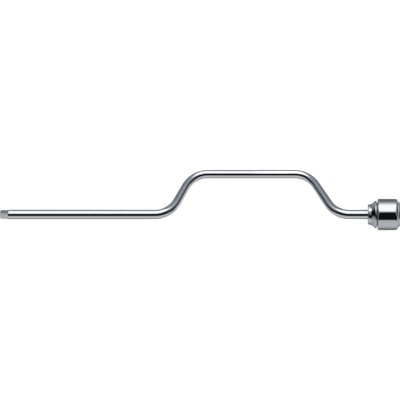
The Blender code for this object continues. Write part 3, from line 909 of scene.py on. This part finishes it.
# %% Draw one pocket
POCKET_RADIUS = 1.29 * MM
SECTOR_STEPS = 8
RADIAL_CUTS = 4
start, end, inner, outer = turned_size("ball_cage")
sector = math.tau / BALL_COUNT
first_turn = math.atan2(first_ball.z, first_ball.y)
cage = bmesh.new()
side = cage.edges.new([cage.verts.new((start, radius, 0)) for radius in (inner, outer)])
bmesh.ops.subdivide_edges(cage, edges=[side], cuts=RADIAL_CUTS)
bmesh.ops.rotate(cage, matrix=Matrix.Rotation(first_turn - sector / 2, 3, "X"), verts=cage.verts)
whole = cage.verts[:] + cage.edges[:]
bmesh.ops.spin(cage, geom=whole, cent=(0, 0, 0), axis=(1, 0, 0), angle=sector, steps=SECTOR_STEPS)
bmesh.ops.delete(cage, geom=cage.faces[:], context="FACES_KEEP_BOUNDARY")
pocket_place = Matrix.Translation((start, first_ball.y, first_ball.z)) @ stand
circle(cage, POCKET_RADIUS, len(cage.verts), pocket_place)
bmesh.ops.bridge_loops(cage, edges=cage.edges[:])
print("one pocket:", len(cage.faces), "faces")

# %% Stamp the cage
CAGE_EDGE = 0.06 * MM
SHEARED_ANGLE = math.radians(45)


def stamp(bm, thickness, edge_round):
    """Gives a flat sheet its thickness along the bar and takes off its edges."""
    grown = bmesh.ops.extrude_face_region(bm, geom=bm.faces[:])
    bmesh.ops.translate(bm, vec=(thickness, 0, 0), verts=verts_in(grown["geom"]))
    bmesh.ops.recalc_face_normals(bm, faces=bm.faces)
    bevel(bm, [edge for edge in bm.edges if edge.calc_face_angle(0.0) > SHEARED_ANGLE], edge_round, 2)


whole = cage.verts[:] + cage.edges[:] + cage.faces[:]
bmesh.ops.spin(
    cage, geom=whole, cent=(0, 0, 0), axis=(1, 0, 0), angle=math.tau - sector, steps=BALL_COUNT - 1,
    use_duplicate=True,
)
bmesh.ops.remove_doubles(cage, verts=cage.verts, dist=SEAM)
stamp(cage, end - start, CAGE_EDGE)
hand_over(cage, "brass_cage", "cage_brass", "ball_set", "ball_cage")

# %% [markdown]
# ## The bush, the felt and the washer
#
# Three plain rings finish the swivel. The bronze bush guides the head on the spigot, with a chamfer that
# helps it in. The felt fills the gap behind the collar, and its edges are soft. The washer is stamped, so
# one of its edges is rounded by the punch and the other is nearly sharp. Each is four corners with their
# own rounds.

# %% Turn the rings
BUSH_ROUND = 0.3 * MM
FELT_ROUND = 0.35 * MM
PUNCHED_ROUND = 0.25 * MM
BURR_ROUND = 0.06 * MM


def plain_ring(name, slot, body, solid, front_round, back_round):
    """A ring with one round on its front edges and another on its back edges."""
    start, end, bore, rim = turned_size(solid)
    front = [(start, bore, front_round), (start, rim, front_round)]
    hand_over(turned([*front, (end, rim, back_round), (end, bore, back_round)]), name, slot, body, solid)


plain_ring("bronze_sleeve", "bush_bronze", "palm_head", "palm_bush", BUSH_ROUND, BUSH_ROUND)
plain_ring("felt_ring", "seal_felt", "palm_head", "felt_seal", FELT_ROUND, FELT_ROUND)
plain_ring("punched_washer", "bearing_steel", "bar", "rear_washer", BURR_ROUND, PUNCHED_ROUND)

# %% [markdown]
# ## The circlip
#
# An open spring ring snaps into the spigot's groove and keeps the head on. Its two ears have holes for the
# points of the pliers. A straight line across the band is spun most of the way round, the outside is
# swelled near both tips, and the faces of each ear give way to a hole, as in the cage. It is stamped too.

# %% Draw the circlip
CLIP_GAP = math.radians(44)
CLIP_STEPS = 54
CLIP_CUTS = 3
CLIP_BAND = 1.4 * MM
EAR_HEIGHT = 1.3 * MM
EAR_SHAPE = 2.2
start, end, inner, _ = turned_size("circlip")
band_radius = inner + CLIP_BAND
ear_reach = EAR_SHAPE * EAR_HEIGHT / band_radius


def from_tip(point):
    """The angle from a point of the clip to its nearer tip. The gap looks straight down."""
    turn = (math.atan2(point.z, point.y) + math.pi / 2) % math.tau
    return min(turn, math.tau - turn) - CLIP_GAP / 2


clip = bmesh.new()
side = clip.edges.new([clip.verts.new((start, radius, 0)) for radius in (inner, band_radius)])
bmesh.ops.subdivide_edges(clip, edges=[side], cuts=CLIP_CUTS)
bmesh.ops.rotate(clip, matrix=Matrix.Rotation(CLIP_GAP / 2 - math.pi / 2, 3, "X"), verts=clip.verts)
whole = clip.verts[:] + clip.edges[:]
bmesh.ops.spin(
    clip, geom=whole, cent=(0, 0, 0), axis=(1, 0, 0), angle=math.tau - CLIP_GAP, steps=CLIP_STEPS
)
for vert in clip.verts:
    across = Vector((0, vert.co.y, vert.co.z))
    swell = EAR_HEIGHT * math.sqrt(max(0.0, 1 - from_tip(vert.co) / ear_reach))
    vert.co += across.normalized() * swell * (across.length - inner) / CLIP_BAND
print("circlip:", len(clip.faces), "faces,", round(math.degrees(CLIP_GAP)), "degrees open")

# %% Punch its ears
EAR_HOLE_RADIUS = 0.45 * MM
EAR_FACES = 4
CLIP_EDGE = 0.06 * MM
hole_from_tip = 2 * EAR_HOLE_RADIUS / band_radius
ear_turn = EAR_FACES * (math.tau - CLIP_GAP) / CLIP_STEPS
for way in (-1, 1):
    turn = way * (CLIP_GAP / 2 + hole_from_tip) - math.pi / 2
    middles = {face: face.calc_center_median() for face in clip.faces}
    ear = [face for face, middle in middles.items() if way * middle.y > 0 and from_tip(middle) < ear_turn]
    ear_edges = [edge for face in ear for edge in face.edges]
    rim = [edge for edge in ear_edges if sum(face in ear for face in edge.link_faces) == 1]
    bmesh.ops.delete(clip, geom=ear, context="FACES_KEEP_BOUNDARY")
    hole_middle = Vector((start, band_radius * math.cos(turn), band_radius * math.sin(turn)))
    hole = circle(clip, EAR_HOLE_RADIUS, len(rim), Matrix.Translation(hole_middle) @ stand)
    bmesh.ops.bridge_loops(clip, edges=rim + edges_between(hole))
stamp(clip, end - start, CLIP_EDGE)
hand_over(clip, "snap_ring", "spring_steel", "bar", "circlip")

# %% [markdown]
# ## The detent's spring
#
# A small spring under the ball pushes it out. It is wound from wire with a closed coil at each end, so that
# it stands level, and open coils between. A circle of wire is spun with a rise at every step: little over
# the end coils, more over the middle.

# %% Wind the spring
WIRE_RADIUS = 0.16 * MM
WIRE_SIDES = 16
COIL_RADIUS = 1.04 * MM
COIL_STEPS = 28
END_COILS = 0.75
END_PITCH = 0.34 * MM
OPEN_COILS = 2.0
into_drill = (lay_on_bench @ drill).inverted()
heights = [(into_drill @ vert.co).z for vert in frame["nodes"]["detent_spring"].data.vertices]
foot, head = min(heights), max(heights)
end_rise = END_COILS * END_PITCH
open_rise = head - foot - 2 * WIRE_RADIUS - 2 * end_rise
spring = bmesh.new()
wire_start = Matrix.Translation((COIL_RADIUS, 0, foot + WIRE_RADIUS))
wire = circle(spring, WIRE_RADIUS, WIRE_SIDES, wire_start @ Matrix.Rotation(math.pi / 2, 4, "X"))
bmesh.ops.contextual_create(spring, geom=edges_between(wire))
for coils, rise in ((END_COILS, end_rise), (OPEN_COILS, open_rise), (END_COILS, end_rise)):
    steps = round(coils * COIL_STEPS)
    spun = bmesh.ops.spin(
        spring, geom=wire + edges_between(wire), cent=(0, 0, 0), axis=(0, 0, 1), dvec=(0, 0, rise / steps),
        angle=coils * math.tau, steps=steps,
    )
    wire = verts_in(spun["geom_last"])
bmesh.ops.contextual_create(spring, geom=edges_between(wire))
bmesh.ops.transform(spring, matrix=drill, verts=spring.verts)
print("spring:", 2 * END_COILS + OPEN_COILS, "coils,", round((head - foot) / MM, 2), "mm long")

# %% Hand the spring over, with a mesh of its own
catch_spring = hand_over(spring, "catch_spring", "spring_steel", "bar", "detent_spring")
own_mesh(catch_spring)

# %% [markdown]
# ## The floor
#
# The tool lies on a sheet of white paper, wide enough to fill every view. Paper has a faint mottle and a
# fine tooth, so two sizes of noise colour it and roughen it. Chrome should mirror the studio and not the
# sheet's far edges, so the sheet is left out of reflections.

# %% Lay the floor
PAPER_SIZE = 40.0
PAPER_DROP = 0.05 * MM
BRIGHT_PAPER = (0.90, 0.90, 0.90)
SHADED_PAPER = (0.86, 0.86, 0.865)
MOTTLE = (25, 25, 25)
TOOTH = (3000, 3000, 3000)
TOOTH_DEPTH = 0.02 * MM
paper_shape = bmesh.new()
under_tool = Matrix.Translation((0, 0, -PAPER_DROP))
bmesh.ops.create_grid(paper_shape, x_segments=1, y_segments=1, size=PAPER_SIZE / 2, matrix=under_tool)
paper_mesh = bpy.data.meshes.new("paper")
paper_shape.to_mesh(paper_mesh)
paper_shape.free()
paper = bpy.data.objects.new("paper", paper_mesh)
bpy.context.scene.collection.objects.link(paper)
tree = new_finish("white_paper")
sheet = node(tree, "ShaderNodeTexCoord", {}).outputs["Object"]
mottle = noise(tree, stretched(tree, sheet, MOTTLE), 3.0)
tooth = noise(tree, stretched(tree, sheet, TOOTH), 2.0)
close_finish(
    tree,
    {
        "Base Color": shade(tree, mottle, BRIGHT_PAPER, SHADED_PAPER),
        "Roughness": remap(tree, tooth, 0.3, 0.7, 0.85, 0.95),
        "Normal": bump(tree, tooth, 0.1, TOOTH_DEPTH),
    },
)
paper_mesh.materials.append(finishes["white_paper"])
paper.visible_glossy = False
print("paper:", PAPER_SIZE, "m wide,", PAPER_DROP / MM, "mm under the tool")

# %% [markdown]
# ## The light tent
#
# Chrome has no colour of its own: it shows the room. To draw its form, a photographer builds a tent of
# cloth round the tool. Here the world is that tent. Looking along the bar, a ray's turn from straight up
# towards the crank says which cloth it meets. A black flag overhead draws the dark line along the bar, an
# oval soft box on the crank's side draws the white one, and plain grey cloth hangs to the left and right of
# both. The tent's ends are dark above and pale below. On the near side lies a grey card with a straight
# edge, and straight down is the pale table. Dim cloth looks a little blue.
#
# How bright each cloth is was worked out from the photograph. A separate program solved for the light that
# the reflections in the chrome ask for in each direction, and the stops below were read from its map,
# rounded, and adjusted against the render.

# %% Plan the cloth
FLAG_AND_BOX = [
    (-172, 0.8), (-158, 0.19), (-60, 0.008), (11, 0.008), (16, 0.15), (20.5, 0.75), (25, 1.35), (33, 1.5),
    (66, 1.5), (79, 1.2), (88, 0.78), (97, 0.48), (107, 0.31), (122, 0.18), (158, 0.2), (172, 0.8),
]
GREY_CLOTH = [
    (-172, 0.8), (-158, 0.46), (-120, 0.5), (-75, 0.3), (-55, 0.02), (-20, 0.0), (-9, 0.08), (0, 0.22),
    (10, 0.32), (28, 0.32), (45, 0.36), (63, 0.32), (90, 0.25), (120, 0.26), (150, 0.45), (172, 0.8),
]
LEFT_END = [
    (-172, 0.8), (-158, 0.5), (-130, 0.55), (-100, 0.52), (-80, 0.44), (-62, 0.24), (-45, 0.08), (-28, 0.02),
    (-10, 0.0), (60, 0.0), (80, 0.04), (95, 0.12), (110, 0.26), (150, 0.45), (172, 0.8),
]
RIGHT_END = [
    (-172, 0.8), (-158, 0.53), (-120, 0.75), (-80, 0.7), (-60, 0.5), (-44, 0.2), (-28, 0.03), (-10, 0.0),
    (90, 0.0), (125, 0.06), (150, 0.3), (172, 0.8),
]
GREY_CARD = [(-150, 0.12), (-132, 0.2), (-115, 0.5), (-100, 0.62), (-80, 0.68), (-50, 0.64)]
COOL = (0.82, 1.0, 1.22)
FULL_LIGHT = 0.7


def cloth(tree, turn, stops):
    """The colour of the cloth by degrees from straight up, towards the crank."""
    made = node(tree, "ShaderNodeValToRGB", {"Fac": turn})
    ramp = made.color_ramp
    while len(ramp.elements) < len(stops):
        ramp.elements.new(1.0)
    for element, (angle, light) in zip(ramp.elements, stops):
        dim = max(0.0, 1 - light / FULL_LIGHT)
        element.position = (angle + 180) / 360
        element.color = [light * (1 + dim * (tint - 1)) for tint in COOL] + [1.0]
    return made.outputs["Color"]


print("the soft box is brightest at", max(FLAG_AND_BOX, key=lambda stop: stop[1])[0], "degrees")

# %% Hang the tent
BOX_SHIFT = 0.04
FLAG_WIDTH = 0.25
BOX_WIDTH = 0.33
NARROWEST = 0.05
FLAG_TURN = (math.radians(-5), math.radians(15))
BOX_TURN = (math.radians(18), math.radians(50))
OVAL_EDGE = (0.65, 1.2)
LEFT_EDGE = (-0.58, -0.88)
RIGHT_EDGE = (0.60, 0.88)
CARD_EDGE = (-0.60, -0.74)


def fade(tree, value, edge):
    """A soft step from 0 to 1 between two values."""
    return remap(tree, value, *edge, 0.0, 1.0, "SMOOTHSTEP")


world = bpy.data.worlds.new("light_tent")
bpy.context.scene.world = world
world.use_nodes = True
tent = world.node_tree
ray = node(tent, "ShaderNodeTexCoord", {}).outputs["Generated"]
ray_x, ray_y, ray_z = node(tent, "ShaderNodeSeparateXYZ", {"Vector": ray}).outputs
ray_turn = combine(tent, "ARCTAN2", ray_y, ray_z)
stop = remap(tent, ray_turn, -math.pi, math.pi, 0.0, 1.0)
flag_reach = remap(tent, ray_turn, *FLAG_TURN, FLAG_WIDTH, NARROWEST)
box_reach = remap(tent, ray_turn, *BOX_TURN, NARROWEST, BOX_WIDTH)
reach = combine(tent, "MAXIMUM", flag_reach, box_reach)
off_middle = combine(tent, "ABSOLUTE", combine(tent, "ADD", ray_x, BOX_SHIFT))
beside = fade(tent, combine(tent, "DIVIDE", off_middle, reach), OVAL_EDGE)
light = shade(tent, beside, cloth(tent, stop, FLAG_AND_BOX), cloth(tent, stop, GREY_CLOTH))
light = shade(tent, fade(tent, ray_x, LEFT_EDGE), light, cloth(tent, stop, LEFT_END))
light = shade(tent, fade(tent, ray_x, RIGHT_EDGE), light, cloth(tent, stop, RIGHT_END))
light = shade(tent, fade(tent, ray_y, CARD_EDGE), light, cloth(tent, stop, GREY_CARD))
fill(tent, tent.nodes["Background"].inputs["Color"], light)
print("tent nodes:", len(tent.nodes))

# %% [markdown]
# ## The lamps
#
# The tent lights the chrome, and a very wide soft lamp lights the paper until it is white, with hardly a
# shadow. It is left out of reflections, or it would wash out the black line. One small white card stands
# near the head and shows only in reflections, as the pale spot on the collar's neck.

# %% Set the lamps
LAMP_STRENGTH = 5.2
LAMP_SPREAD = math.radians(150)
CARD_WIDTH = 80 * MM
CARD_DISTANCE = 150 * MM
CARD_GLOW = 1.2
CARD_WAY = Vector((-0.58, 0.70, 0.42)).normalized()


def lamp(name, kind):
    """A new lamp in the scene: its light and its object."""
    made = bpy.data.lights.new(name, kind)
    lamp_object = bpy.data.objects.new(name, made)
    bpy.context.scene.collection.objects.link(lamp_object)
    return made, lamp_object


soft_lamp, soft_lamp_object = lamp("soft_lamp", "SUN")
soft_lamp.energy = LAMP_STRENGTH
soft_lamp.angle = LAMP_SPREAD
soft_lamp_object.visible_glossy = False
card, card_object = lamp("white_card", "AREA")
card.shape = "DISK"
card.size = CARD_WIDTH
card.energy = CARD_GLOW * math.pi * math.pi * (CARD_WIDTH / 2) ** 2
card_object.location = lay_on_bench @ middle_of("thrust_collar") + CARD_WAY * CARD_DISTANCE
card_object.rotation_euler = CARD_WAY.to_track_quat("Z", "Y").to_euler()
card_object.visible_camera = False
card_object.visible_diffuse = False
bpy.context.scene.view_settings.view_transform = "Standard"
print("card at", [round(part / MM) for part in card_object.location], "mm")

# %% [markdown]
# ## The camera
#
# The tool is seen from straight above. The camera stands far off, so that the long bar isn't drawn larger
# in the middle than at its ends, and its lens is long enough to fill the frame. The tip of the dome is just
# outside the frame.

# %% Set the camera
CAMERA_HEIGHT = 3.0
TOOL_MIDDLE = 12 * MM
VIEW_WIDTH = 378.8 * MM
SENSOR_WIDTH = 36.0
VIEW_SHIFT = -0.81 * MM
FARTHEST = 100.0
camera = bpy.data.cameras.new("overhead")
camera.sensor_width = SENSOR_WIDTH
camera.lens = SENSOR_WIDTH * CAMERA_HEIGHT / VIEW_WIDTH
camera.clip_end = FARTHEST
camera_object = bpy.data.objects.new("overhead", camera)
camera_object.location = (VIEW_SHIFT, 0, CAMERA_HEIGHT + TOOL_MIDDLE)
bpy.context.scene.collection.objects.link(camera_object)
bpy.context.scene.camera = camera_object
print("lens:", round(camera.lens), "mm, from", CAMERA_HEIGHT, "m above")
